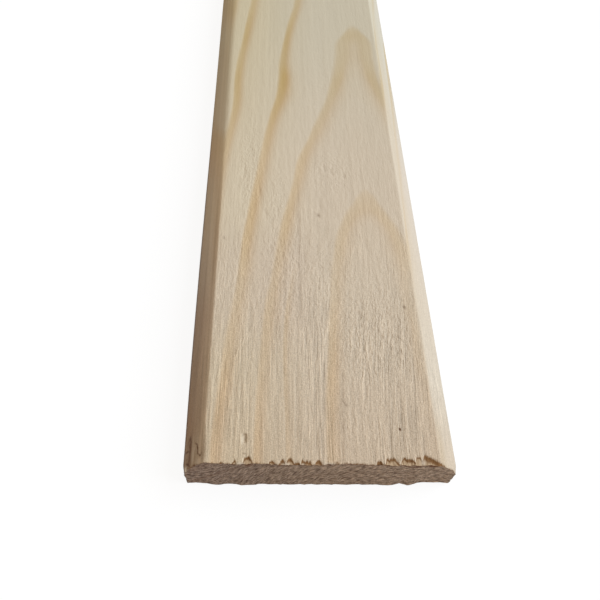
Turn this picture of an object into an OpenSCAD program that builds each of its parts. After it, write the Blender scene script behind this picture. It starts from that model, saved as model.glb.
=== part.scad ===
// Wooden batten: one planed softwood strip with a bevel along each side of its front
// and a square sawn cut at each end. It lies on its back. Lengths are in millimetres.

/* [Strip] */
// Length between the sawn ends, along Y
strip_length = 1000; // [300:50:3000]
// Width of the back, along X
strip_width = 40; // [25:1:95]
// Thickness from the back to the front, along Z
strip_thickness = 10; // [8:0.5:25]

/* [Bevels] */
// Width that each bevel takes from the front
bevel_width = 3.5; // [1:0.25:8]
// Height that each bevel takes from the edge
bevel_drop = 4.75; // [1:0.25:6]

/* [Rounding] */
// Radius where each bevel meets the front
arris_radius = 1.2; // [0.2:0.1:2]
// Radius where each bevel meets its edge
edge_radius = 0.6; // [0.2:0.1:1.2]
// Radius where each edge meets the back
back_radius = 0.4; // [0.2:0.1:1.2]

/* [Hidden] */

// Number of short flats that make up each rounded corner
round_steps = 6;

half_width = strip_width / 2;
half_front = half_width - bevel_width;
edge_height = strip_thickness - bevel_drop;

// Sharp corners of the section, anticlockwise from the back left: [x, height, radius]
corners = [
    [-half_width, 0, back_radius],
    [half_width, 0, back_radius],
    [half_width, edge_height, edge_radius],
    [half_front, strip_thickness, arris_radius],
    [-half_front, strip_thickness, arris_radius],
    [-half_width, edge_height, edge_radius],
];
count = len(corners);

function place(i) = [corners[i][0], corners[i][1]];

// Heading of the side that leaves corner i, and the turn made at that corner, in degrees
function heading(i) =
    let (side = place((i + 1) % count) - place(i))
    atan2(side.y, side.x);
function turn(i) = (heading(i) - heading((i + count - 1) % count) + 360) % 360;

// Points along the round of corner i, which starts and ends square to the two sides
function round_points(i) =
    let (
        radius = corners[i][2],
        arriving = heading(i) - turn(i),
        along = [cos(arriving), sin(arriving)],
        inward = [-along.y, along.x],
        centre = place(i) - radius * tan(turn(i) / 2) * along + radius * inward
    )
    [
        for (step = [0 : round_steps])
            let (angle = arriving - 90 + turn(i) * step / round_steps)
            centre + radius * [cos(angle), sin(angle)]
    ];

// The strip, with its length centred on the origin
module batten() {
    color("burlywood")
        translate([0, strip_length / 2, 0])
            rotate([90, 0, 0])
                linear_extrude(height = strip_length)
                    polygon([for (i = [0 : count - 1]) each round_points(i)]);
}

batten();
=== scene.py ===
"""A wooden batten: one planed softwood strip, bevelled along both sides of its front, lying on its back.

Lengths are in millimetres, in the part's own frame: X across the strip, Y along it, Z up from the back to
the bevelled front. Along is measured from the near end. Across is measured over the surface, from the
middle of the front down each bevel and edge to the middle of the back, and is negative on the left.
Meshes turn into metres as they are made.
"""

import math

import bpy
import numpy as np
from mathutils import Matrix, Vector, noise
from mathutils.geometry import convex_hull_2d, delaunay_2d_cdt


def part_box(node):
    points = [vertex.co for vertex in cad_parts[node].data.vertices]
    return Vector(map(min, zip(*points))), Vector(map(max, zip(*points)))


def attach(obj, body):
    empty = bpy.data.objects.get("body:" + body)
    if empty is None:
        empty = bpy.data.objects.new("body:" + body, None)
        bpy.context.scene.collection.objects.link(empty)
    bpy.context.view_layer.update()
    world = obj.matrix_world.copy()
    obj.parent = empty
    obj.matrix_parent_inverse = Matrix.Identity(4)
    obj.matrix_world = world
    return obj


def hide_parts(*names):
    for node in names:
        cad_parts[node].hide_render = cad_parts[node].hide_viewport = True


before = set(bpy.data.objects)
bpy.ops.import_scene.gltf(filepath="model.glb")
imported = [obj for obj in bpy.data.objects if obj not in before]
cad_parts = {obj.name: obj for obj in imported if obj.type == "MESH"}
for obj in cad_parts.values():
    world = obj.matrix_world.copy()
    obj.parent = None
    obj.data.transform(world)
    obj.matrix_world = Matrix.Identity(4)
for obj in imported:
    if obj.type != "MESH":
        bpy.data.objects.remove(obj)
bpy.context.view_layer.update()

MM = 0.001
low, high = (np.array(corner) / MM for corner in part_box("batten"))
LENGTH = high[1] - low[1]
MIDDLE = (low[1] + high[1]) / 2
THICKNESS = high[2] - low[2]
random = np.random.default_rng(11)


# ---------------- numbers

def smooth_curve(points, at):
    """A smooth line through points (place, value), level beyond its ends, read at each place in at."""
    place, value = np.array(points, float).T
    slope = np.gradient(value, place)
    slope[[0, -1]] = 0
    at = np.clip(at, place[0], place[-1])
    k = np.clip(np.searchsorted(place, at) - 1, 0, len(place) - 2)
    gap = place[k + 1] - place[k]
    t = (at - place[k]) / gap
    rise = (3 - 2 * t) * t**2
    swing = t * (1 - t) * gap * ((1 - t) * slope[k] - t * slope[k + 1])
    return value[k] + (value[k + 1] - value[k]) * rise + swing


def ease(t):
    """0 below t = 0, 1 above t = 1 and a smooth rise between."""
    t = np.clip(t, 0, 1)
    return t * t * (3 - 2 * t)


# Noises of different seeds are read this far apart. Noise in lumps this long doesn't change along them.
SEED_STEP = 17.3
ENDLESS = 1e6


def wander(points, lump, seed):
    """Smooth noise from about -1 to 1 at each point, in lumps of the size (x, y, z)."""
    shifted = points / np.array(lump, float) + SEED_STEP * seed
    return np.array([noise.noise(p) for p in shifted.tolist()])


# ---------------- growth rings

# The pith runs along the strip, this far under the front at the near end. Seen from the front, the rings
# are arches about the line over the pith, which drifts across the strip: (along, x).
PITH_DEPTH = 30
ARCH_LINE = [(0, 9.2), (25, 9.5), (34, 9.9), (41, 10.1), (48, 10.2), (70, 10.5), (86, 10.95), (97, 11.5),
             (113, 12.0), (220, 10.5), (400, 3), (600, -5), (800, -1), (1000, 6)]

# How the pith draws away from the front along the strip: (along, growth of the squared distance to it).
RISE = [(0, 0), (25, 60), (45, 121), (65, 223), (85, 328), (113, 388), (180, 560), (300, 760),
        (450, 830), (600, 800), (760, 930), (900, 1180), (1000, 1330)]

# The dark bands that cross the front by the near end, from the innermost ring out. Each is a line of
# points (along, distance from the arch line, width, outer width, strength). A band fades inwards over its
# width and outwards over the outer width. An arch closes where its distance passes 0.
BANDS = [
    [(0, 7.8, 2.2, 1.2, 0.6), (15, 7, 2.2, 1.2, 0.75), (22, 6.6, 2.2, 1.2, 0.55),
     (28, 6.2, 2.6, 1.2, 0.4), (34, 5.8, 3.6, 1.4, 0.42), (38, 5.1, 4.6, 1.6, 0.5),
     (41, 4.3, 5, 1.8, 0.52), (44, 3, 5, 2, 0.52), (47, 1.3, 5, 2.2, 0.5), (49.5, -0.2, 4.8, 2.4, 0.4),
     (52, -2, 4, 2, 0.25), (56, -5, 3, 2, 0.3), (70, -8, 3, 1.2, 0.4), (100, -13, 3, 1.2, 0.6),
     (120, -18, 3, 1.2, 0.6)],
    [(0, 13.8, 0.7, 0.6, 0.4), (24, 14, 0.8, 0.6, 0.4), (36, 12.6, 0.8, 0.6, 0), (52, 5.9, 2, 1, 0),
     (68, 1, 2, 1, 0), (84, -3.6, 2, 1, 0), (100, -8.2, 2, 1, 0), (120, -13.9, 2, 1, 0)],
    [(0, 18.2, 1.4, 0.9, 0.85), (12, 17.8, 1.8, 1, 0.55), (25, 16.9, 2.3, 1.2, 0.52),
     (34, 15.9, 2.3, 1.2, 0.5), (42, 14.9, 2.4, 1.4, 0.78), (52, 12.9, 2.3, 1.2, 0.7),
     (60, 11.4, 3, 1.3, 0.7), (68, 8.5, 3.6, 1.4, 0.55), (76, 5.9, 4.4, 1.6, 0.5),
     (84, 3.5, 5, 2.4, 0.56), (88, 2.8, 5, 2.6, 0.46), (92, 2.2, 5, 2.8, 0.42), (97, 1.9, 5, 2.8, 0.42),
     (101, -0.3, 4.6, 3, 0.48), (105, -2.6, 3, 2.4, 0.2), (120, -8.9, 3, 1.5, 0.4)],
    [(0, 24.2, 1.7, 1.2, 0.85), (12, 23.4, 2, 1.2, 0.9), (20, 22.7, 2.3, 1.4, 0.55),
     (30, 21.9, 2.4, 1.2, 0.55), (38, 21.6, 2.3, 1.2, 0.88), (46, 20.8, 2.2, 1.2, 1),
     (60, 19.1, 2.4, 1.2, 0.8), (72, 17.4, 2.6, 1.3, 0.92), (78, 16.1, 3, 1.5, 0.95),
     (84, 15.5, 2.5, 1.7, 1.05), (90, 15.7, 2.1, 1.7, 0.78), (97, 15.5, 2, 1.2, 0.82),
     (104, 14.6, 2, 1.3, 0.75), (113, 13.1, 2.2, 1.4, 0.6)],
    [(0, 27.9, 2.2, 1.2, 0.7), (60, 26.6, 1.6, 1.2, 0.7), (76, 25.2, 1.9, 1.2, 0.8),
     (84, 25.4, 1.9, 1.2, 0.8), (92, 25.2, 1.9, 1.3, 0.7), (100, 24.8, 2, 1.2, 0.82),
     (113, 23.8, 2.2, 1.2, 0.6)],
]

# A band is darkest at a whole ring number. It takes this much of a ring before that, and this much after.
BAND_BEFORE, BAND_AFTER = 0.4, 0.12

# Inside and outside those bands are rings with gaps like theirs, but the first one inside them is further
# off.
INNER_RINGS, OUTER_RINGS = 9, 9
inner_gaps = random.uniform(2.2, 3.2, INNER_RINGS)
inner_gaps[-1] = 4.4
outer_gaps = random.uniform(1.9, 3.1, OUTER_RINGS)
ring_strength = random.uniform(0.45, 1.0, INNER_RINGS + len(BANDS) + OUTER_RINGS)
SMALLEST_GAP = 0.001


def ring_radii(along):
    """The radii at which ring numbers are known, one row for each place along, and those numbers."""
    radii, numbers = [], []
    for k, band in enumerate(BANDS):
        place, distance, width, outer_width, _ = np.array(band).T
        edges = ((-BAND_BEFORE, distance - width), (0, distance), (BAND_AFTER, distance + outer_width))
        for step, edge in edges:
            square = edge * abs(edge) + smooth_curve(RISE, place) + PITH_DEPTH**2
            radii.append(np.sqrt(smooth_curve(list(zip(place, square)), along)))
            numbers.append(INNER_RINGS + k + step)
    inner = [radii[1] - total for total in np.cumsum(inner_gaps[::-1])[::-1]]
    outer = [radii[-2] + total for total in np.cumsum(outer_gaps)]
    first_outer = INNER_RINGS + len(BANDS)
    numbers = list(range(INNER_RINGS)) + numbers + list(range(first_outer, first_outer + OUTER_RINGS))
    return np.stack(inner + radii + outer, axis=-1), np.array(numbers)


def grow(points):
    """The ring number at each point, whole at a dark band and rising outwards, and its strength."""
    x, along, depth = points[:, 0], points[:, 1] - low[1], high[2] - points[:, 2]
    off_line = x - smooth_curve(ARCH_LINE, along)
    radius = np.sqrt(off_line**2 + smooth_curve(RISE, along) + (PITH_DEPTH - depth) ** 2)
    radii, numbers = ring_radii(along)
    radii = np.maximum.accumulate(radii, axis=1)
    gaps = np.maximum(np.diff(radii, axis=1), SMALLEST_GAP)
    share = (radius[:, None] - radii[:, :-1]) / gaps
    number = (np.clip(share, 0, 1) * np.diff(numbers)).sum(axis=1)
    strengths = np.tile(ring_strength, (len(points), 1))
    for k, band in enumerate(BANDS):
        place, *_, strength = np.array(band).T
        strengths[:, INNER_RINGS + k] = smooth_curve(list(zip(place, strength)), along)
    nearest = np.clip(np.floor(number + (1 - BAND_BEFORE)), 0, strengths.shape[1] - 1).astype(int)
    faint_by_right_arris = 1 - 0.7 * ease((x - 14.5) / 2) * ease((36 - along) / 8)
    return number, strengths[np.arange(len(points)), nearest] * faint_by_right_arris


# ---------------- section

# Places that differ by less than this are level, or in line.
SAME = 0.01

# The outward direction at a place is taken between two places this far to each side of it.
TURN_REACH = 0.12


def section_outline(node):
    """The CAD section's outline, anticlockwise as seen from the near end, from the middle of the back."""
    spots = sorted({(round(v.co.x / MM, 3), round(v.co.z / MM, 3)) for v in node.data.vertices})
    loop = np.array([spots[i] for i in convex_hull_2d(spots)])
    following = np.roll(loop, -1, axis=0)
    if (loop[:, 0] * following[:, 1] - loop[:, 1] * following[:, 0]).sum() < 0:
        loop = loop[::-1]
    back_right = (loop[:, 0] > 0) & (loop[:, 1] - low[2] < SAME)
    first = np.argmin(np.where(back_right, loop[:, 0], np.inf))
    start = [[0.0, low[2]]]
    return np.vstack([start, np.roll(loop, -first, axis=0), start])


outline = section_outline(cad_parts["batten"])
outline_place = np.concatenate([[0], np.cumsum(np.hypot(*np.diff(outline, axis=0).T))])
PERIMETER = outline_place[-1]


def columns(front_gap, side_gap, back_gap):
    """Places round the outline for a ring's points, no further apart than the gap for that face."""
    places = []
    for k, (here, there) in enumerate(zip(outline[:-1], outline[1:])):
        if max(here[1], there[1]) - low[2] < SAME:
            gap = back_gap
        elif abs(there[0] - here[0]) < SAME:
            gap = side_gap
        else:
            gap = front_gap
        parts = math.ceil((outline_place[k + 1] - outline_place[k]) / gap)
        places.extend(np.linspace(outline_place[k], outline_place[k + 1], parts, endpoint=False))
    return np.array(places)


def at_place(place):
    """(x, z) at a place round the outline, and the outward direction there."""
    def spot_at(where):
        return np.stack([np.interp(where, outline_place, outline[:, axis]) for axis in (0, 1)], axis=-1)

    onward = spot_at((place + TURN_REACH) % PERIMETER) - spot_at((place - TURN_REACH) % PERIMETER)
    outward = np.stack([onward[:, 1], -onward[:, 0]], axis=-1)
    return spot_at(place), outward / np.linalg.norm(outward, axis=-1, keepdims=True)


def graded(start, stop, first_step, last_step):
    """Places from start up to stop, whose steps change evenly from first_step to last_step."""
    mean = (first_step + last_step) / 2
    count = max(1, round((stop - start) / mean))
    steps = np.linspace(first_step, last_step, count)
    return start + np.concatenate([[0], np.cumsum(steps)[:-1]]) * (stop - start) / steps.sum()


# ---------------- relief

# Tufts torn out of the near end's rim by the saw: (left, peak, right, reach, bow, outline). A bow of 1
# gives straight flanks and a higher one an arch. The outline is the width of the brown line round it.
NEAR_TEARS = [
    (-14.3, -14.0, -13.7, 0.3, 1, 0.3), (-12.45, -12.15, -11.75, 0.65, 1.5, 0.3),
    (-10.95, -10.4, -9.65, 1.06, 4, 0.36), (-7.4, -7.0, -6.3, 0.6, 1.7, 0.32),
    (-6.0, -5.4, -4.95, 0.84, 1.6, 0.46), (-5.05, -4.45, -3.7, 0.9, 1.9, 0.38),
    (-3.9, -3.3, -3.0, 0.52, 1.4, 0.5), (-3.0, -2.65, -2.3, 0.76, 2, 0.5),
    (-2.6, -2.1, -1.7, 0.68, 2, 0.45), (-1.95, -1.65, -1.4, 0.66, 2, 0.4),
    (-0.95, -0.45, 0.05, 0.64, 5, 0.5), (0.3, 1.3, 2.9, 0.2, 4, 0.5),
    (1.9, 2.15, 2.6, 0.42, 1, 0.2), (3.9, 4.8, 6.3, 0.15, 4, 0.5),
    (7.5, 7.95, 8.55, 0.62, 1.5, 0.7), (8.8, 9.15, 9.8, 0.85, 2, 0.32),
    (9.05, 9.85, 10.85, 0.96, 2.4, 0.34), (10.95, 11.5, 12.4, 0.94, 2.4, 0.3),
    (11.6, 12.35, 13.1, 0.88, 2.8, 0.36), (12.95, 13.4, 14.1, 1.12, 3, 0.2),
    (13.7, 14.35, 17.7, 1.32, 1, 0.6),
]

# The far end has this many tufts, where chance put them, with this outline.
FAR_COUNT = 16
PLAIN_OUTLINE = 0.3
FAR_TEARS = [(middle - half, middle + lean, middle + half, reach, bow, PLAIN_OUTLINE)
             for middle, half, lean, reach, bow in zip(
                 random.uniform(-22, 22, FAR_COUNT), random.uniform(0.4, 0.9, FAR_COUNT),
                 random.uniform(-0.3, 0.3, FAR_COUNT), random.uniform(0.4, 1.6, FAR_COUNT),
                 random.uniform(1, 2, FAR_COUNT))]

# Between the tufts the rim is this fuzzy.
RIM_FUZZ = 0.08


def torn_reach(across, tears):
    """How far from the end the rim is torn at each place across, and how wide its brown outline is."""
    fuzz = wander(np.outer(across, (1, 0, 0)), (0.5, 1, 1), 4)
    reach, outline_width = RIM_FUZZ * (1 + 1.6 * fuzz), np.full(across.shape, PLAIN_OUTLINE)
    for left, peak, right, height, bow, width in tears:
        flank = np.where(across < peak, peak - left, right - peak)
        hump = height * (1 - np.clip(abs(across - peak) / flank, 0, 1) ** bow)
        outline_width = np.where(hump > reach, width, outline_width)
        reach = np.maximum(reach, hump)
    return reach, outline_width


# Marks in the front by the near end: (across, along, half width, half length, lean, depth, stain). The
# lean is how far a mark moves right for each millimetre along, and a negative depth is a ridge. By the
# dent at (-10.8, 3.45) the stain is painted shade on its right and far walls.
SPECKS = [
    (11.4, 4.85, 0.22, 0.24, 0, 0.03, 1.0), (11.9, 11.6, 0.2, 0.22, 0, 0.02, 0.4),
    (12.95, 19.7, 0.22, 0.3, 0, 0.03, 0.5), (13.4, 19.3, 0.2, 0.25, 0, 0.03, 0.3),
    (14.45, 25.4, 0.3, 0.35, 0, 0.04, 0.6), (-21.9, 7.4, 0.3, 0.35, 0, 0.03, 0.5),
    # Painted shade on the right and far walls of the dent at (-10.8, 3.45):
    (-10.6, 3.6, 0.15, 0.6, 0, 0.03, 0.45), (-10.8, 4.15, 0.3, 0.14, 0, 0.03, 0.4),
    (-15.45, 39.8, 0.25, 0.4, 0, 0.03, 0.35),
]
CHIPS = [
    (-10.82, 3.45, 0.42, 0.8, 0, 0.26, 0), (3.65, 8.9, 0.2, 0.75, -0.5, 0.12, 0.4),
    (10.3, 19.9, 0.35, 0.5, 0, 0.1, 0.1), (12.8, 17.1, 0.3, 0.5, 0.1, 0.1, 0.15),
    (1.35, 45.2, 0.36, 0.36, 0.3, 0.14, 0.4), (0.7, 45.5, 0.26, 0.26, 0, 0.1, 0.4),
    (1.65, 47.4, 0.32, 1.9, 0.08, 0.1, 0.05), (1.9, 54, 0.35, 5.0, 0.03, 0.05, 0),
    (-2.2, 43.5, 0.35, 0.4, 0, 0.08, 0.1), (-1.6, 45.4, 0.35, 0.3, 0, 0.08, 0.1),
    (2.9, 57.0, 0.35, 0.9, -0.15, 0.14, 0.05), (4.2, 55.9, 0.3, 0.7, -0.2, 0.12, 0.05),
    (6.6, 54.8, 0.3, 0.5, 0, 0.06, 0.1), (-9.3, 50.5, 0.4, 1.6, -0.1, 0.12, 0),
    (-12.4, 56, 0.35, 1.8, 0.05, 0.1, 0), (-11.6, 62, 0.35, 1.6, -0.05, 0.1, 0),
    (-8.2, 45.5, 0.35, 1.2, -0.1, 0.12, 0.05), (-9.6, 26, 0.35, 0.9, 0.1, 0.1, 0.1),
    (7.0, 24.0, 0.4, 0.9, -0.3, 0.12, 0.05), (9.2, 22.2, 0.35, 0.8, 0.3, 0.1, 0.05),
    (11.6, 24.5, 0.35, 0.8, -0.2, 0.1, 0.05), (8.2, 17.2, 0.35, 0.7, -0.3, 0.08, 0.05),
]
SCRATCHES = [
    (3.0, 6.5, 0.18, 8.5, 0.06, -0.05, 0), (3.3, 6.5, 0.16, 8.5, 0.06, 0.05, 0.2),
    (0.35, 12, 0.2, 6.0, 0.03, -0.05, 0), (0.7, 12, 0.2, 6.0, 0.03, 0.05, 0.1),
    (5.2, 9.8, 0.18, 3.2, 0.06, -0.05, 0), (5.5, 9.6, 0.16, 3.0, 0.06, 0.04, 0.1),
    (9.0, 10.5, 0.18, 2.6, -0.15, -0.05, 0), (9.35, 10.5, 0.16, 2.6, -0.15, 0.04, 0.1),
    (9.6, 8.0, 0.16, 2.4, 0.1, -0.04, 0), (9.85, 8.0, 0.14, 2.4, 0.1, 0.03, 0.1),
    (11.9, 9.0, 0.16, 4.0, 0.1, 0.03, 0.1), (12.7, 7.0, 0.16, 3.5, 0.1, -0.04, 0),
    (13.0, 7.0, 0.14, 3.5, 0.1, 0.03, 0.1), (14.2, 8.5, 0.16, 4.5, 0.11, -0.03, 0),
    (-11.5, 9, 0.16, 5.0, 0, 0.04, 0.15), (-11.9, 9, 0.16, 5.0, 0, -0.04, 0),
    (-13.3, 9, 0.15, 6.0, 0, 0.04, 0.1), (-3.6, 9, 0.18, 7.0, 0, -0.05, 0),
    (-3.3, 8, 0.16, 7.0, 0, 0.05, 0.15), (-2.6, 7, 0.16, 6.0, 0, -0.04, 0),
    (-15.9, 12, 0.18, 9.0, 0, -0.05, 0), (-2.4, 38, 0.24, 17.0, 0.008, 0.07, 0.12),
]

# Brown stains by the near end, with painted shade along the left arris, and dark pits in the end itself:
# (across, along, half width, half length, lean, strength). On the end, along is minus the depth under the
# front.
STAINS_AND_SHADE = [
    (-20.02, 3.2, 0.4, 1.75, -0.02, 0.92), (-20.3, 4.4, 0.36, 0.5, 0, 0.85),
    (-20.15, 1.4, 0.46, 1.3, 0, 0.72), (-20.4, 0.6, 0.42, 0.42, -1.4, 1.2),
    (-21.0, 2.6, 0.8, 0.2, 0, 0.95), (-20.75, 3.8, 0.4, 0.8, 0, 0.45),
    (-19.5, 1.2, 0.3, 1.0, 0, 0.45), (-18.3, 3.12, 0.22, 0.26, -1.4, 0.95),
    (-17.95, 2.5, 0.2, 0.55, -0.3, 0.9), (-17.85, 1.85, 0.18, 0.35, 0, 0.8),
    (-17.5, 1.42, 0.2, 0.26, -2, 0.85), (-17.2, 1.2, 0.27, 0.2, 0, 0.9),
    (-16.85, 1.45, 0.2, 0.3, 0, 0.5), (-18.6, 0.05, 0.4, 0.2, 0, 0.9),
    (-21.0, 1.5, 0.26, 0.2, 0, 0.5), (-17.8, 9.0, 0.6, 6.0, 0, 0.15),
    (-20.1, 14.5, 0.5, 5.0, 0, 0.15), (-17.4, 15.0, 0.4, 6.0, 0, 0.15),
    # The stain at (-16.5, 1.8) is painted shade, where the left bevel reaches further in by the near end.
    (-16.5, 1.8, 0.35, 2.0, 0, 0.3), (-16.95, 3.4, 0.2, 2.6, 0, 0.22),
    (-18.5, 1.2, 0.16, 1.1, 0, 0.3), (-17.3, 36, 0.28, 16, 0, 0.17),
    (-19.4, 30, 0.35, 10, 0, 0.18), (-10.85, 1.36, 0.3, 0.1, -0.2, 0.4),
    (-19.0, -5.8, 0.5, 0.35, -0.6, 0.9), (-14.6, -4.0, 0.4, 0.25, 0, 0.5),
    (-9.35, -2.5, 0.3, 0.3, 0, 0.9), (-7.1, -3.9, 0.5, 0.22, 0, 0.6),
    (-2.9, -7.1, 0.35, 0.4, -0.5, 0.8), (1.6, -4.9, 0.6, 0.22, 0, 0.7),
    (3.2, -5.3, 0.35, 0.45, -0.5, 0.7), (9.2, -5.3, 0.6, 0.2, 0, 0.5),
    (13.9, -2.8, 0.6, 0.22, 0, 0.6),
]

# Pale frayed fibres, in the same form, with painted highlights on the lit sides of the dents at (-10.8,
# 3.45) and (1.35, 45.2).
FRAYED_AND_HIGHLIGHTS = [
    (-21.4, 0.2, 0.5, 0.45, 0, 1.1), (-19.1, 1.5, 0.35, 1.2, 0, 0.4), (-18.9, 2.4, 0.3, 0.7, 0, 0.25),
    (-17.35, 2.8, 0.16, 1.6, 0, 0.2), (-19.3, 3.4, 0.2, 1.5, 0, 0.16), (-17.6, 0.4, 0.7, 0.4, 0, 0.25),
    (-11.1, 3.2, 0.26, 0.6, 0, 0.35), (0.8, 46.2, 0.5, 0.3, 0, 0.35), (1.6, 44.7, 0.45, 0.25, 0, 0.35),
    (-11.4, 0.0, 0.6, 0.22, 0, 0.7), (14.1, 0.35, 0.4, 0.4, 0, 0.5), (1.2, 0.05, 0.9, 0.16, 0, 0.6),
    (-5.0, 0.1, 0.6, 0.2, 0, 0.6), (-2.6, 0.05, 0.3, 0.2, 0, 0.5),
]

# Where the planer plucked the fibres, in the same form.
PLUCKED = [
    (9, 20, 7.5, 10, 0, 1.0), (2, 28, 6, 12, 0, 0.6), (-5, 32, 4, 14, 0, 0.7),
    (-11, 58, 2.2, 13, 0, 0.9), (-6, 48, 2, 8, 0, 0.6), (4, 56, 5, 5, 0, 0.7),
    (-12, 30, 3, 12, 0, 0.5), (8, 6, 8, 6, 0, 0.4), (4, 80, 4, 14, 0, 0.3),
]


def marks(across, along):
    """How deep the marks are at each point, and how much stain and painted shade, pale frayed fibre and
    painted highlight, and plucking the wood has there.
    """
    dent, stain_and_shade, frayed_and_highlit, plucked = (np.zeros(across.shape) for _ in range(4))

    def offsets(middle, centre, half_width, half_length, lean):
        return (across - middle - lean * (along - centre)) / half_width, (along - centre) / half_length

    for *place, depth, dark in SPECKS + CHIPS + SCRATCHES:
        aside, ahead = offsets(*place)
        bowl = np.clip(1 - aside**2 - ahead**4, 0, 1)
        dent += depth * ease(bowl)
        np.maximum(stain_and_shade, dark * ease(1.5 * bowl), out=stain_and_shade)
    for spots, spread in ((STAINS_AND_SHADE, stain_and_shade), (FRAYED_AND_HIGHLIGHTS, frayed_and_highlit), (PLUCKED, plucked)):
        for *place, strength in spots:
            aside, ahead = offsets(*place)
            np.maximum(spread, strength * np.exp(-((aside**2 + ahead**2) ** 1.5)), out=spread)
    return dent, stain_and_shade, frayed_and_highlit, plucked


# The saw left strokes in the near end that climb to the right, steeply at first: (x, climb). On the far
# end the climb is an even slope.
STROKE_CLIMB = [(-20, 0), (2, 28), (9, 33), (20, 34.5)]
FAR_SLOPE = 0.2

# How far the near end stands out at its upper and its lower edge: (x, reach), and how ragged each is.
UPPER_LIP = [(-20, 0), (-16.5, -0.02), (-14.5, 0.04), (-12, 0.17), (-8, 0.13), (-5, 0.28), (-2, 0.3),
             (2, 0.23), (4, 0.14), (6, 0.32), (10, 0.36), (14, 0.41), (17, 0.4), (20, 0.2)]
LOWER_LIP = [(-20, 0.12), (-18.4, 0.08), (-17, 0.17), (-15.4, 0.36), (-14, 0.2), (-12.5, 0.22),
             (-11, 0.42), (-9.6, 0.3), (-5, 0.28), (0, 0.28), (9, 0.36), (11, 0.42), (12.5, 0.18),
             (14, 0.34), (15.4, 0.04), (17, -0.14), (18.4, 0.02), (20, 0.16)]
RAGGED_UPPER, RAGGED_LOWER = 0.11, 0.14

# The matted fibres' height on a sawn end, in strokes and in lumps, and how much less it is on the right.
FELT_HEIGHT, LUMP_HEIGHT = 0.08, 0.07
CALMED = 0.85


def saw_strokes(points):
    """Each point's place along the saw's strokes, along the strip, and across the strokes."""
    x, y, z = points.T
    climb = np.where(y < MIDDLE, smooth_curve(STROKE_CLIMB, x), FAR_SLOPE * x)
    return np.stack([x, y, z - climb], axis=-1)


def saw_cut(points):
    """How far the sawn end stands out at each point: matted fibres drawn out along the saw's strokes."""
    x, y, z = points.T
    strokes = saw_strokes(points)
    felt = wander(strokes, (0.9, ENDLESS, 0.5), 1) + 0.6 * wander(strokes, (0.5, ENDLESS, 0.3), 2)
    lumps = wander(points, (1.6, ENDLESS, 1.3), 3)
    upper = smooth_curve(UPPER_LIP, x) + RAGGED_UPPER * wander(points, (0.6, ENDLESS, 1.5), 10)
    lower = smooth_curve(LOWER_LIP, x) + RAGGED_LOWER * wander(points, (1.2, ENDLESS, 3), 9)
    lip = np.where(y < MIDDLE, upper + (lower - upper) * ease((high[2] - z) / THICKNESS), 0)
    calm = 1 - CALMED * ease((x - 18.5) / 1.5)
    return calm * (FELT_HEIGHT * felt + LUMP_HEIGHT * lumps) + lip


# The rounded arris between front and bevel: where its middle lies across, half its width and its radius.
# The wood there is sharper than the round by this share, though on the left only by the near end.
ARRIS, ARRIS_HALF, ARRIS_RADIUS = 16.45, 0.56, 1.2
SHARPER = 0.9

# The bevels are a little proud in their middle: their width, and by how much.
BEVEL_WIDTH, BEVEL_CROWN = 5.9, 0.2

# The planer's ridges: the heights of the long ones and of the short ones.
LONG_RIDGE, SHORT_RIDGE = 0.02, 0.012

# The low part of each bevel starts this far across, and the low part of each edge this far. Between them,
# the near end's corners are worn by this much, over this length.
LOW_BEVEL, LOW_EDGE = 20.5, 26
WEAR, WEAR_LENGTH = 0.2, 1.2

# How much fuller the strip is from the left bevel's low part to the edge's end: (along, height).
FULL_EDGE = [(0, -0.05), (15, 0.08), (35, 0.14), (60, 0.08), (90, 0), (120, 0)]


def skin_relief(points, across):
    """How far the planed skin stands out at each point, without its marks."""
    along = points[:, 1] - low[1]
    long_ridges, short_ridges = wander(points, (1.1, 60, 1.1), 5), wander(points, (2.5, 9, 2.5), 6)
    ridges = LONG_RIDGE * long_ridges + SHORT_RIDGE * short_ridges
    down_bevel = (abs(across) - ARRIS) / BEVEL_WIDTH
    crown = BEVEL_CROWN * np.clip(4 * down_bevel * (1 - down_bevel), 0, 1)
    turn = np.clip(ARRIS_HALF - abs(abs(across) - ARRIS), 0, None) / ARRIS_RADIUS
    left_sharper = SHARPER * ease((75 - along) / 30) * (0.4 + 0.6 * ease(along / 9 - 0.3))
    sharpened = np.where(across > 0, SHARPER, left_sharper) * ARRIS_RADIUS * (1 / np.cos(turn) - 1)
    full = smooth_curve(FULL_EDGE, along) * ease((-across - LOW_BEVEL) / 1.8) * ease((across + 29) / 2)
    worn = WEAR * ease((abs(across) - LOW_BEVEL) / 1.5) * ease(1 - along / WEAR_LENGTH)
    return ridges + crown + sharpened + full - worn * (abs(across) < LOW_EDGE)


# ---------------- mesh

# The skin lies on the texture map in strips that end at these places along, and at the far end.
STRIP_ENDS = [150.0, 433.0, 716.0]

# It is meshed ever more coarsely away from the near end: (columns, rows) of each stretch of rings.
STRETCHES = [
    (columns(0.17, 0.3, 0.9), graded(0, 7, 0.16, 0.22)),
    (columns(0.25, 0.5, 1.2), graded(7, 60, 0.35, 0.75)),
    (columns(0.55, 0.8, 1.6), np.concatenate([
        graded(60, STRIP_ENDS[0], 0.8, 1.8),
        graded(STRIP_ENDS[0], STRIP_ENDS[1], 2, 8),
        graded(STRIP_ENDS[1], STRIP_ENDS[2], 8, 10),
        graded(STRIP_ENDS[2], LENGTH - 4, 10, 2.5),
        graded(LENGTH - 4, LENGTH, 0.6, 0.4),
        [LENGTH],
    ])),
]

# The gaps between points in the near and the far end, where they lie in shifted rows, each a little off.
NEAR_GAP, FAR_GAP = 0.19, 0.5
ROW_HEIGHT, JITTER, RIM_MARGIN = 0.87, 0.25, 0.45

# What delaunay_2d_cdt is asked for: only triangles inside the edges, with spots this close taken as one.
INSIDE_EDGES, SAME_SPOT = 1, 1e-6


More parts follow.
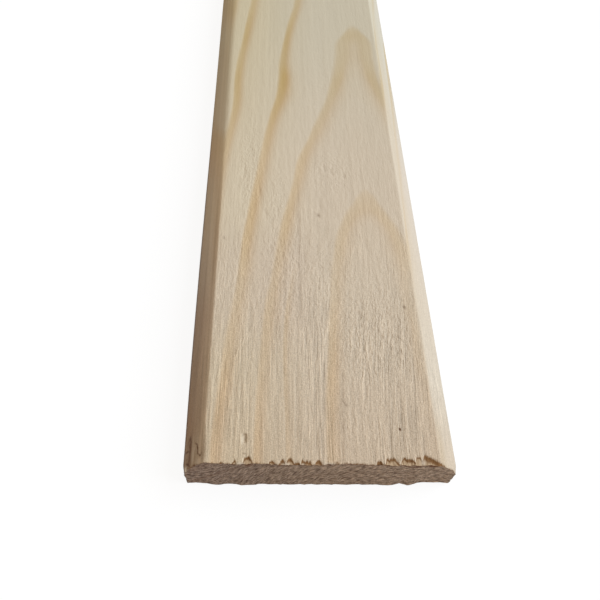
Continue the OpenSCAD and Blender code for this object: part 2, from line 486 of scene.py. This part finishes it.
class Ring:
    """One ring of points round the strip: the first one's number, their places round it, how far along."""

    def __init__(self, first, places, along):
        self.first, self.places, self.along = first, places, along

    def corner(self, k):
        """(point number, place round the outline, along) of point k. One past the last is the first."""
        count = len(self.places)
        return self.first + k % count, self.places[k] if k < count else PERIMETER, self.along


def between(lower, upper):
    """The faces between two rings, as lists of corners: squares, or triangles if their points differ."""
    if len(lower.places) == len(upper.places):
        return [[lower.corner(k), upper.corner(k), upper.corner(k + 1), lower.corner(k + 1)]
                for k in range(len(lower.places))]
    faces, i, j = [], 0, 0
    while i < len(lower.places) or j < len(upper.places):
        step_lower = j == len(upper.places) or (
            i < len(lower.places) and lower.corner(i + 1)[1] <= upper.corner(j + 1)[1])
        tip = lower.corner(i + 1) if step_lower else upper.corner(j + 1)
        faces.append([lower.corner(i), upper.corner(j), tip])
        i, j = (i + 1, j) if step_lower else (i, j + 1)
    return faces


# Where each strip of the skin and each end lies on the texture map: (low u, low v, high u, high v). It
# stays this far off the edges of that place.
MAP_GAP = 0.004
SKIN_MAPS = [(0.0, 0.0, 0.5, 0.92)] + [(0.5 + k / 6, 0.0, 0.5 + (k + 1) / 6, 0.92) for k in range(3)]
END_MAPS = [(0.0, 0.93, 0.5, 1.0), (0.5, 0.93, 1.0, 1.0)]


def on_map(place, share_u, share_v):
    """The point at those shares of one place on the map."""
    low_u, low_v, high_u, high_v = place
    u = low_u + MAP_GAP + share_u * (high_u - low_u - 2 * MAP_GAP)
    v = low_v + MAP_GAP + share_v * (high_v - low_v - 2 * MAP_GAP)
    return u, v


def skin_uv(face):
    """Texture places for a skin face's corners, in the strip that holds the face."""
    middle = sum(corner[2] for corner in face) / len(face)
    strip = int(np.searchsorted(STRIP_ENDS, middle))
    start, stop = ([0] + STRIP_ENDS + [LENGTH])[strip:strip + 2]
    return [on_map(SKIN_MAPS[strip], place / PERIMETER, (along - start) / (stop - start))
            for _, place, along in face]


def inside(spots, margin):
    """Which (x, z) spots lie inside the outline by more than margin."""
    here, there = outline[:-1], outline[1:]
    side = (there - here) / np.hypot(*(there - here).T)[:, None]
    off = spots[:, None] - here
    return (side[:, 0] * off[..., 1] - side[:, 1] * off[..., 0]).min(axis=1) > margin


def end_face(rim, gap):
    """Spots (x, z) inside the rim, and triangles over rim and spots, as lists of three numbers."""
    x, z = np.meshgrid(np.arange(low[0], high[0], gap), np.arange(low[2], high[2], gap * ROW_HEIGHT))
    x = x + (np.arange(len(x)) % 2)[:, None] * gap / 2
    spots = np.stack([x.ravel(), z.ravel()], axis=-1)
    spots += random.uniform(-JITTER, JITTER, spots.shape) * gap
    spots = spots[inside(spots, gap * RIM_MARGIN)]
    count = len(rim)
    edges = [(k, (k + 1) % count) for k in range(count)]
    every = np.vstack([rim, spots]).tolist()
    _, _, triangles, origins, _, _ = delaunay_2d_cdt(every, edges, [], INSIDE_EDGES, SAME_SPOT)
    return spots, [[origins[k][0] for k in triangle] for triangle in triangles]


class Surface:
    """The strip's points and faces as they are made, with every point still on the flat CAD shape."""

    def __init__(self):
        self.count = 0
        self.points, self.outward, self.across = [], [], []
        self.corners, self.uvs, self.sawn = [], [], []

    def add_points(self, spots, along, outward, across):
        """Adds points over (x, z) spots at one place along, and gives the first one's number."""
        first = self.count
        self.count += len(spots)
        y = np.full(len(spots), low[1] + along)
        self.points.append(np.stack([spots[:, 0], y, spots[:, 1]], axis=-1))
        self.outward.append(outward)
        self.across.append(across)
        return first

    def add_face(self, corners, uvs, sawn):
        self.corners.append(corners)
        self.uvs.extend(uvs)
        self.sawn.append(sawn)

    def add_skin(self):
        """Adds the planed skin from end to end, and gives its rings."""
        rings = []
        for places, rows in STRETCHES:
            spots, outward = at_place(places)
            for along in rows:
                first = self.add_points(spots, along, outward, PERIMETER / 2 - places)
                rings.append(Ring(first, places, along))
        for lower, upper in zip(rings[:-1], rings[1:]):
            for face in between(lower, upper):
                self.add_face([corner[0] for corner in face], skin_uv(face), False)
        return rings

    def add_end(self, ring, gap, end_map, turned):
        """Adds the sawn end inside a ring. The far end's triangles are turned, to face outwards."""
        rim, _ = at_place(ring.places)
        spots, triangles = end_face(rim, gap)
        first = self.add_points(spots, ring.along, np.zeros(spots.shape), spots[:, 0])
        shares = (np.vstack([rim, spots]) - low[[0, 2]]) / (high - low)[[0, 2]]
        numbers = [*range(ring.first, ring.first + len(rim)), *range(first, first + len(spots))]
        for triangle in triangles:
            order = triangle[::-1] if turned else triangle
            self.add_face([numbers[k] for k in order], [on_map(end_map, *shares[k]) for k in order], True)


# How far the fibres on the right of the strip have drifted further to the right: (along, drift).
FIBRE_DRIFT = [(0, 0), (30, 2.2), (60, 2.8), (113, 3.0)]

# How deep the tufts are torn, and how far from an end the skin still follows its ragged cut.
TORN_DEPTH, FADE = 0.2, 2.5


def store(mesh, name, values):
    """Keeps a number or a vector for each point of the mesh."""
    kind, field = ("FLOAT", "value") if values.ndim == 1 else ("FLOAT_VECTOR", "vector")
    places = mesh.attributes.new(name, kind, "POINT").data
    places.foreach_set(field, values.astype(np.float32).ravel())


def damage(points, across, skin):
    """How torn the wood is at each point, how much stain and painted shade, pale frayed fibre and painted
    highlight, and plucking it has, and how deep its marks are.
    """
    from_near, from_far = points[:, 1] - low[1], high[1] - points[:, 1]
    near_half = from_near < from_far
    depth = high[2] - points[:, 2]
    near_tear, far_tear = torn_reach(across, NEAR_TEARS), torn_reach(across, FAR_TEARS)
    reach, outline_width = np.where(near_half, near_tear, far_tear)
    torn = np.where(skin, reach - np.minimum(from_near, from_far), 0.5 * reach - depth)
    marked_at = np.where(skin, from_near, np.where(near_half, -depth, LENGTH))
    dent, stain_and_shade, frayed_and_highlit, plucked = marks(across, marked_at)
    stored = {"torn": torn, "outline": outline_width, "stain_and_shade": stain_and_shade, "frayed_and_highlit": frayed_and_highlit, "plucked": plucked}
    return stored, dent


def carved(points, outward, across, torn, dent):
    """Where each point ends up, with the skin's relief, its marks and notches, and the ragged saw cuts."""
    ragged = 1 + 0.8 * wander(points, (0.35, 0.5, 0.35), 8)
    notch = TORN_DEPTH * ease((torn + 0.1) / 0.4) * ragged
    relief = skin_relief(points, across) - dent - notch
    from_end = np.minimum(points[:, 1] - low[1], high[1] - points[:, 1])
    cut = saw_cut(points) * (1 - ease(from_end / FADE))
    moved = points.copy()
    moved[:, [0, 2]] += outward * relief[:, None]
    moved[:, 1] += np.where(points[:, 1] < MIDDLE, -cut, cut)
    moved[:, 2] = np.maximum(moved[:, 2], low[2])
    return moved


def in_grain(points):
    """Each point's place across, along and up in the wood, whose fibres drift to the right."""
    x, y, z = points.T
    drift = smooth_curve(FIBRE_DRIFT, y - low[1]) * ease((x + 7) / 16)
    return np.stack([x - drift, y - low[1], z], axis=-1)


def build_batten():
    """The whole strip as one closed mesh, with the values that its materials read stored on its points."""
    surface = Surface()
    rings = surface.add_skin()
    surface.add_end(rings[0], NEAR_GAP, END_MAPS[0], turned=False)
    surface.add_end(rings[-1], FAR_GAP, END_MAPS[1], turned=True)
    points, outward = np.vstack(surface.points), np.vstack(surface.outward)
    across = np.concatenate(surface.across)
    stored, dent = damage(points, across, outward.any(axis=1))

    mesh = bpy.data.meshes.new("batten_wood")
    places = carved(points, outward, across, stored["torn"], dent) * MM
    mesh.from_pydata(places.tolist(), [], surface.corners)
    mesh.uv_layers.new(name="OFBake").data.foreach_set("uv", np.array(surface.uvs, np.float32).ravel())
    stored["ring"], stored["band"] = grow(points)
    stored.update(across=across, grain=in_grain(points), strokes=saw_strokes(points))
    for name, values in stored.items():
        store(mesh, name, values)
    mesh.polygons.foreach_set("material_index", np.array(surface.sawn, np.int32))
    mesh.polygons.foreach_set("use_smooth", np.ones(len(surface.corners), bool))
    rims = {frozenset((ring.first + k, ring.first + (k + 1) % len(ring.places)))
            for ring in (rings[0], rings[-1]) for k in range(len(ring.places))}
    for edge in mesh.edges:
        edge.use_edge_sharp = frozenset(edge.vertices) in rims
    mesh.update()
    return mesh


# ---------------- materials

def srgb(red, green, blue):
    """A colour given as 0 to 255 on the screen, as Blender's linear values."""
    shares = [value / 255 for value in (red, green, blue)]
    linear = [((c + 0.055) / 1.055) ** 2.4 if c > 0.04045 else c / 12.92 for c in shares]
    return (*linear, 1.0)


BARE_WOOD_SPECULAR = 0.12


class Nodes:
    """A node tree, with short ways to add to it."""

    def __init__(self, tree):
        self.tree = tree

    def add(self, kind, inputs=(), **settings):
        """A node with those settings. The inputs are {socket: value or the output that feeds it}."""
        node = self.tree.nodes.new(kind)
        for name, value in settings.items():
            setattr(node, name, value)
        for socket, value in dict(inputs).items():
            self.feed(node.inputs[socket], value)
        return node

    def feed(self, socket, value):
        """Links an output to the socket, or sets the socket to a plain value."""
        if isinstance(value, bpy.types.NodeSocket):
            self.tree.links.new(value, socket)
        else:
            socket.default_value = value

    def math(self, operation, *values, clamp=False):
        node = self.add("ShaderNodeMath", dict(enumerate(values)), operation=operation, use_clamp=clamp)
        return node.outputs[0]


class Finish(Nodes):
    """A material for the wood, with the ways its patterns are made."""

    def __init__(self, name):
        self.material = bpy.data.materials.new(name)
        self.material.use_nodes = True
        super().__init__(self.material.node_tree)
        self.grain = self.vector("grain")
        self.along = self.add("ShaderNodeSeparateXYZ", {0: self.grain}).outputs["Y"]
        self.across = self.value("across")

    def value(self, name):
        """A number stored on the mesh."""
        return self.add("ShaderNodeAttribute", attribute_name=name).outputs["Fac"]

    def vector(self, name):
        """A vector stored on the mesh."""
        return self.add("ShaderNodeAttribute", attribute_name=name).outputs["Vector"]

    def noise(self, lump, detail=2.0, rough=0.5, seed=0.0, place=None):
        """Noise from 0 to 1, in lumps of that many millimetres (across, along, up)."""
        inputs = {"Vector": place or self.grain, "Location": (seed, seed, seed),
                  "Scale": [1 / side for side in lump]}
        stretch = self.add("ShaderNodeMapping", inputs)
        inputs = {"Vector": stretch.outputs[0], "Scale": 1.0, "Detail": detail, "Roughness": rough}
        return self.add("ShaderNodeTexNoise", inputs).outputs["Fac"]

    def ripple(self, *settings):
        """Noise from -1 to 1, with the same settings."""
        return self.span(self.noise(*settings), 0.3, 0.7, -1, 1, False)

    def hairlines(self, lump, width, seed):
        """1 on thin lines that wander along the grain and 0 off them."""
        off_line = self.math("ABSOLUTE", self.math("SUBTRACT", self.noise(lump, 1, 0.5, seed), 0.5))
        return self.span(off_line, 0, width, 1, 0)

    def span(self, value, start, stop, out_start=0.0, out_stop=1.0, smooth=True):
        """Takes value from start..stop to out_start..out_stop, held at both ends."""
        ranges = {1: start, 2: stop, 3: out_start, 4: out_stop, 0: value}
        kind = "SMOOTHSTEP" if smooth else "LINEAR"
        return self.add("ShaderNodeMapRange", ranges, interpolation_type=kind, clamp=True).outputs[0]

    def product(self, *factors):
        """The product of the factors. A tuple stands for the span with those arguments."""
        product, *others = [self.span(*each) if isinstance(each, tuple) else each for each in factors]
        for factor in others:
            product = self.math("MULTIPLY", product, factor)
        return product

    def total(self, *terms):
        """The sum of the terms, each a pair that is multiplied."""
        total = self.math("MULTIPLY", *terms[0])
        for term in terms[1:]:
            total = self.math("MULTIPLY_ADD", *term, total)
        return total

    def mix(self, share, first, second, blend="MIX"):
        node = self.add("ShaderNodeMix", data_type="RGBA", blend_type=blend)
        for socket, value in ((0, share), (6, first), (7, second)):
            self.feed(node.inputs[socket], value)
        return node.outputs[2]

    def tint(self, share, colour, factors):
        """The colour with that share of it multiplied by (red, green, blue) factors."""
        return self.mix(share, colour, self.mix(1.0, colour, (*factors, 1), "MULTIPLY"))

    def brighten(self, colour, factor):
        """The colour times a number that varies over the surface."""
        grey = self.add("ShaderNodeCombineColor", {0: factor, 1: factor, 2: factor}).outputs[0]
        return self.mix(1.0, colour, grey, "MULTIPLY")

    def cover(self, colour, relief, roughness):
        """The finished material. Its relief is in millimetres."""
        bump = self.add("ShaderNodeBump", {"Strength": 1.0, "Distance": MM, "Height": relief})
        shader = self.tree.nodes["Principled BSDF"]
        self.feed(shader.inputs["Base Color"], colour)
        self.feed(shader.inputs["Normal"], bump.outputs[0])
        self.feed(shader.inputs["Roughness"], roughness)
        shader.inputs["Specular IOR Level"].default_value = BARE_WOOD_SPECULAR
        return self.material


# How dark a ring is from one dark band's sharp outer side to the next: pale, then ever darker.
BAND_PROFILE = [(0.0, 0.0), (0.35, 0.03), (0.5, 0.1), (0.62, 0.35), (0.74, 0.75), (0.86, 1.0),
                (0.93, 0.92), (0.97, 0.5), (1.0, 0.02)]

# That side lies this much of a ring after the whole number.
BAND_EDGE = 0.1


def bands(wood, waver):
    """How much latewood shows, and how far through its ring each place is. Waver shifts the rings."""
    number = wood.math("ADD", wood.value("ring"), waver)
    step = wood.math("FRACT", wood.math("SUBTRACT", number, BAND_EDGE))
    curve = wood.add("ShaderNodeFloatCurve", {"Value": step})
    line = curve.mapping.curves[0]
    line.points[0].location, line.points[1].location = BAND_PROFILE[0], BAND_PROFILE[-1]
    for point in BAND_PROFILE[1:-1]:
        line.points.new(*point)
    curve.mapping.update()
    return wood.math("MULTIPLY", curve.outputs[0], wood.value("band"), clamp=True), step


def earlywood(wood):
    """Pale wood between the bands: creamier on the left, pinker there near the end, greener further on."""
    across, along = wood.across, wood.along
    side = wood.span(across, -14, 4)
    nearby = wood.mix(side, srgb(203, 189, 165), srgb(204, 190, 170))
    distant = wood.mix(side, srgb(196, 184, 156), srgb(195, 186, 165))
    colour = wood.mix(wood.span(along, 45, 110), nearby, distant)
    right_bevel = wood.product((across, 16.4, 17.2), (along, 10, 60))
    colour = wood.tint(right_bevel, colour, (0.98, 0.97, 0.96))
    broad = wood.noise((6, 70, 6), 2, 0.5, 1)
    colour = wood.brighten(colour, wood.span(broad, 0.3, 0.7, 0.985, 1.015, False))
    heartwood = wood.product((wood.value("ring"), INNER_RINGS + 3.3, INNER_RINGS + 0.5), (along, 12, 28))
    colour = wood.tint(heartwood, colour, (0.982, 0.966, 0.95))
    pinker_left = wood.product((across, 3, -6), (along, 12, 28), (along, 48, 34))
    return wood.tint(pinker_left, colour, (0.968, 0.945, 0.972))


def latewood(wood, step):
    """The honey-coloured wood of the bands, deeper further along and yellower on its outer side."""
    nearest = wood.span(wood.along, 5, 30)
    inner = wood.mix(nearest, srgb(200, 177, 147), srgb(194, 168, 134))
    outer = wood.mix(nearest, srgb(200, 177, 145), srgb(196, 171, 134))
    honey = wood.span(wood.along, 55, 88)
    inner = wood.mix(honey, inner, srgb(184, 156, 114))
    outer = wood.mix(honey, outer, srgb(180, 154, 104))
    return wood.mix(wood.span(step, 0.7, 0.92), inner, outer)


def planed_marks(wood):
    """The fine marks of planer and fibres, strongest by the near end: a change of tone, and a relief."""
    across, along = wood.across, wood.along
    fine = wood.span(along, 12, 56, 1.0, 0.2)
    coarse = wood.span(along, 25, 100, 1.0, 0.35)
    patches = wood.span(wood.noise((4, 14, 4), 1, 0.5, 10), 0.4, 0.6)
    combed = wood.product((along, 12, 36, 1.7, 0.55), (across, -10, -8, 0.75, 1.05),
                          (patches, 0, 1, 0.5, 1.0, False))
    grit = wood.ripple((0.15, 0.19, 0.15), 2, 0.65, 9)
    fibres = wood.product(wood.ripple((0.28, 9, 0.28), 3, 0.6, 3), combed)
    streaks = wood.ripple((0.7, 45, 0.7), 2, 0.5, 4)
    light_hairs = wood.product(wood.hairlines((1.0, 11, 1.0), 0.035, 5), patches)
    dark_hairs = wood.product(wood.hairlines((1.4, 18, 1.4), 0.03, 11), patches)
    pitted = wood.math("MULTIPLY_ADD", wood.value("plucked"), 0.85, 0.1)
    pits = wood.product(wood.ripple((0.42, 0.85, 0.42), 2, 0.6, 12), pitted)
    dashes = wood.ripple((0.6, 2.8, 0.6), 3, 0.55, 14)

    fine_tone = wood.total((grit, 0.165), (fibres, 0.11), (light_hairs, 0.12), (dark_hairs, -0.045))
    coarse_tone = wood.total((dashes, 0.02), (pits, 0.05))
    streak_tone = wood.span(across, -17.2, -16.4, 0.06, 0.012)
    tone = wood.total((fine_tone, fine), (coarse_tone, coarse), (streaks, streak_tone))
    fine_relief = wood.total((grit, 0.014), (fibres, 0.014), (light_hairs, 0.03), (dark_hairs, -0.03))
    coarse_relief = wood.total((dashes, 0.03), (pits, 0.06))
    relief = wood.total((fine_relief, fine), (coarse_relief, coarse), (streaks, 0.01))
    return tone, relief


def painted_shade_and_tints(wood, colour):
    """The colour darker and warmer by the near end, with painted shade down the left bevel and painted
    cool light down the right one.
    """
    across, along = wood.across, wood.along
    reach = wood.span(across, 16.4, 16.7, 28, 13)
    near_end = wood.math("SUBTRACT", 1.0, wood.math("DIVIDE", along, reach), clamp=True)
    off_corner = wood.math("MAXIMUM", wood.span(along, 3, 6), wood.span(across, -18.4, -17.4))
    tints = [
        # Darker and warmer by the near end, and painted cool light, bluer, down the right bevel further
        # along.
        ((0.922, 0.866, 0.82), near_end, (across, 17, 18.2, 1, 0.8)),
        ((1.02, 1.05, 1.12), (across, 17.6, 20), (along, 16, 60)),
        # Painted shade down the left bevel, deepest at its edge.
        ((0.82, 0.79, 0.78), (across, -17, -22.4)),
        ((0.66, 0.68, 0.75), (across, -21.3, -22.1), (along, 90, 50)),
        # Painted shade along the left arris, and down the bevel further along.
        ((0.91, 0.86, 0.81), (across, -18.6, -17.2), (across, -16.2, -16.6),
         (along, 22, 36), (along, 58, 42)),
        ((0.94, 0.91, 0.89), (along, 32, 50), (along, 106, 94), (across, -16.6, -18)),
        # Painted shade on the left bevel, ever less along it, and a darker part by the end apart from the
        # corner.
        ((0.725, 0.68, 0.675), (across, -15.9, -19.4), (along, 60, 0)),
        ((0.97, 0.92, 0.90), (across, -15.9, -17.2), off_corner, (along, 34, 24)),
        # Along the right arris by the end.
        ((0.93, 0.91, 0.86), (across, 16.3, 16.8), (across, 18.8, 17.2), (along, 9, 3)),
    ]
    for factors, *limits in tints:
        colour = wood.tint(wood.product(*limits), colour, factors)
    return colour


def torn_rim(wood, colour, ragged):
    """The colour with the torn tufts on it: brown, with paler bare wood inside their outlines."""
    torn = wood.math("ADD", wood.value("torn"), wood.span(ragged, 0.3, 0.7, -0.13, 0.13, False))
    outline_width = wood.value("outline")
    bare = wood.span(torn, wood.product(outline_width, 0.75), wood.product(outline_width, 1.8))
    brown = wood.mix(bare, srgb(126, 92, 58), srgb(186, 161, 131))
    splinters = wood.span(wood.noise((0.14, 1.2, 0.14), 2, 0.6, 7), 0.5, 0.65)
    brown = wood.tint(splinters, brown, (0.76, 0.7, 0.63))
    return wood.mix(wood.span(torn, -0.06, 0.2), colour, brown)


def planed_wood():
    """Planed pine: pale earlywood, honey-coloured latewood, fine fibres, and torn tufts at the rims."""
    wood = Finish("planed_pine")
    waver = wood.product(wood.math("SUBTRACT", wood.noise((2.2, 30, 2.2), 3, 0.55, 2), 0.5), 0.08)
    late, step = bands(wood, waver)
    colour = wood.mix(late, earlywood(wood), latewood(wood, step))
    tone, relief = planed_marks(wood)
    # Painted shade down the left bevel, painted cool light down the right bevel, and a darker, warmer near
    # end.
    colour = painted_shade_and_tints(wood, wood.brighten(colour, wood.math("ADD", tone, 1.0)))
    ragged = wood.noise((0.24, 0.5, 0.24), 3, 0.65, 6)
    ragged_stain = wood.span(ragged, 0.35, 0.65, 0.75, 1.15)
    # Brown stains, with painted shade by a dent and along the left arris.
    stain_and_shade = wood.math("MULTIPLY", wood.value("stain_and_shade"), ragged_stain, clamp=True)
    colour = torn_rim(wood, wood.mix(stain_and_shade, colour, srgb(88, 53, 22)), ragged)
    # Pale frayed fibres, with painted highlights on the lit sides of two dents.
    colour = wood.mix(wood.value("frayed_and_highlit"), colour, srgb(218, 204, 183))
    relief = wood.math("MULTIPLY_ADD", late, -0.05, relief)
    return wood.cover(colour, relief, wood.span(late, 0, 1, 0.72, 0.6, False))


def sawn_wood():
    """Sawn end grain: a darker felt of cut fibres, lighter where they stand up, partly as painted
    highlight and painted shade that follow the felt's relief.
    """
    wood = Finish("sawn_pine")
    late, _ = bands(wood, 0.0)
    strokes = wood.vector("strokes")
    felt = wood.noise((0.8, 1, 0.42), 3, 0.6, 8, strokes)
    tufts = wood.noise((0.3, 1, 0.3), 2, 0.6, 13)
    pits = wood.span(wood.noise((0.9, 1, 0.34), 2, 0.5, 15, strokes), 0.56, 0.68)
    # The felt's colour follows its relief: partly the fibres' own tone, partly painted highlight on raised
    # fibres and painted shade between them.
    colour = wood.mix(wood.span(felt, 0.28, 0.72), srgb(99, 79, 65), srgb(219, 193, 170))
    colour = wood.brighten(colour, wood.span(tufts, 0.3, 0.7, 0.79, 1.21, False))
    colour = wood.brighten(colour, wood.span(pits, 0, 1, 1, 0.8, False))
    colour = wood.tint(wood.span(wood.across, 0, -18), colour, (0.85, 0.85, 0.905))
    colour = wood.mix(wood.product(late, 0.3), colour, srgb(120, 88, 68))
    torn = wood.value("torn")
    patches = wood.noise((1.6, 1, 1.2), 2, 0.5, 16)
    reddish = wood.product((patches, 0.45, 0.6), (torn, -1.0, -0.05, 0, 0.8))
    colour = wood.mix(reddish, colour, srgb(124, 88, 66))
    torn = wood.math("ADD", torn, wood.span(felt, 0.3, 0.7, -0.4, 0.3, False))
    colour = wood.mix(wood.span(torn, -0.1, 0.1, 0, 0.8), colour, srgb(116, 84, 60))
    colour = wood.mix(wood.product(wood.value("stain_and_shade"), 0.8), colour, srgb(78, 56, 40))
    felt_relief = wood.span(felt, 0.2, 0.8, 0, 0.25, False)
    tuft_relief = wood.span(tufts, 0.2, 0.8, 0, 0.1, False)
    return wood.cover(colour, wood.math("ADD", felt_relief, tuft_relief), 0.85)


# ---------------- setting

# The light on a level surface adds up to 1 in each colour: a cool key lamp and a warm surround.
KEY_SHARE = np.array([0.47, 0.55, 0.64])
KEY_HEIGHT, KEY_TURN, KEY_SOFTNESS = math.radians(40), math.radians(8), math.radians(50)
WHITE = (1.0, 1.0, 1.0, 1.0)


def seen_directly(nodes):
    """1 for rays that show the backdrop itself, from the camera or through a mirror or glass."""
    rays = nodes.add("ShaderNodeLightPath")
    total = rays.outputs["Is Camera Ray"]
    for name in ("Is Glossy Ray", "Is Transmission Ray"):
        total = nodes.math("MAXIMUM", total, rays.outputs[name])
    return total


def make_lamp():
    """A soft key lamp on the right, a little behind the strip's near end."""
    strength = KEY_SHARE * math.pi / math.sin(KEY_HEIGHT)
    lamp = bpy.data.lights.new("key", "SUN")
    lamp.energy = strength.max()
    lamp.color = strength / strength.max()
    lamp.angle = KEY_SOFTNESS
    holder = bpy.data.objects.new("key", lamp)
    holder.rotation_euler = (0, math.pi / 2 - KEY_HEIGHT, KEY_TURN)
    bpy.context.collection.objects.link(holder)


def make_world():
    """Warm light from all round, and plain white where the surround itself is seen."""
    world = bpy.data.worlds.new("surround")
    bpy.context.scene.world = world
    world.use_nodes = True
    nodes = Nodes(world.node_tree)
    warm = nodes.tree.nodes["Background"]
    warm.inputs["Color"].default_value = (*(1 - KEY_SHARE), 1.0)
    plain = nodes.add("ShaderNodeBackground", {"Color": WHITE})
    shown = {0: seen_directly(nodes), 1: warm.outputs[0], 2: plain.outputs[0]}
    choice = nodes.add("ShaderNodeMixShader", shown)
    nodes.feed(nodes.tree.nodes["World Output"].inputs["Surface"], choice.outputs[0])


# The floor lies this far below the strip, and is this wide. Where it is seen, it glows and takes a little
# light. For other rays it is a grey that sends back this share of the light.
FLOOR_DROP, FLOOR_SIDE = 0.05, 12000
FLOOR_GLOW, FLOOR_SHADE, FLOOR_BOUNCE = 0.9, 0.12, 0.55


def make_floor():
    """A level pale floor, white where it is seen, that still takes the strip's soft shadow."""
    material = bpy.data.materials.new("pale_floor")
    material.use_nodes = True
    nodes = Nodes(material.node_tree)
    nodes.tree.nodes.remove(nodes.tree.nodes["Principled BSDF"])
    matt, bounce = (nodes.add("ShaderNodeBsdfDiffuse", {"Color": (grey, grey, grey, 1)})
                    for grey in (FLOOR_SHADE, FLOOR_BOUNCE))
    glow = nodes.add("ShaderNodeEmission", {"Strength": FLOOR_GLOW})
    seen = nodes.add("ShaderNodeAddShader", {0: matt.outputs[0], 1: glow.outputs[0]})
    shown = {0: seen_directly(nodes), 1: bounce.outputs[0], 2: seen.outputs[0]}
    choice = nodes.add("ShaderNodeMixShader", shown)
    nodes.feed(nodes.tree.nodes["Material Output"].inputs["Surface"], choice.outputs[0])

    half, level = FLOOR_SIDE / 2 * MM, (low[2] - FLOOR_DROP) * MM
    corners = [(-half, -half, level), (half, -half, level), (half, half, level), (-half, half, level)]
    mesh = bpy.data.meshes.new("floor")
    mesh.from_pydata(corners, [], [(0, 1, 2, 3)])
    mesh.materials.append(material)
    floor = bpy.data.objects.new("floor", mesh)
    bpy.context.collection.objects.link(floor)


# The camera's place from the middle of the near end's bottom edge, and how far down it looks.
CAMERA_PLACE = (-6.44, -24.64, 89.42)
CAMERA_DIP = math.radians(57.06)
LENS, LENS_SHIFT = 34.68, 0.0411
NEAREST_SEEN = 5


def make_camera():
    """A camera close over the near end, as a hand-held phone would be."""
    data = bpy.data.cameras.new("camera")
    data.lens = LENS
    data.shift_x = LENS_SHIFT
    data.clip_start = NEAREST_SEEN * MM
    camera = bpy.data.objects.new("camera", data)
    x, y, z = CAMERA_PLACE
    camera.location = [c * MM for c in (x, low[1] + y, low[2] + z)]
    camera.rotation_euler = (math.pi / 2 - CAMERA_DIP, 0, 0)
    bpy.context.collection.objects.link(camera)
    bpy.context.scene.camera = camera


make_camera()
make_lamp()
make_world()
make_floor()
bpy.context.scene.view_settings.view_transform = "Standard"

batten = bpy.data.objects.new("batten_wood", build_batten())
bpy.context.collection.objects.link(batten)
for material in (planed_wood(), sawn_wood()):
    batten.data.materials.append(material)
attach(batten, "root")
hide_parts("batten")
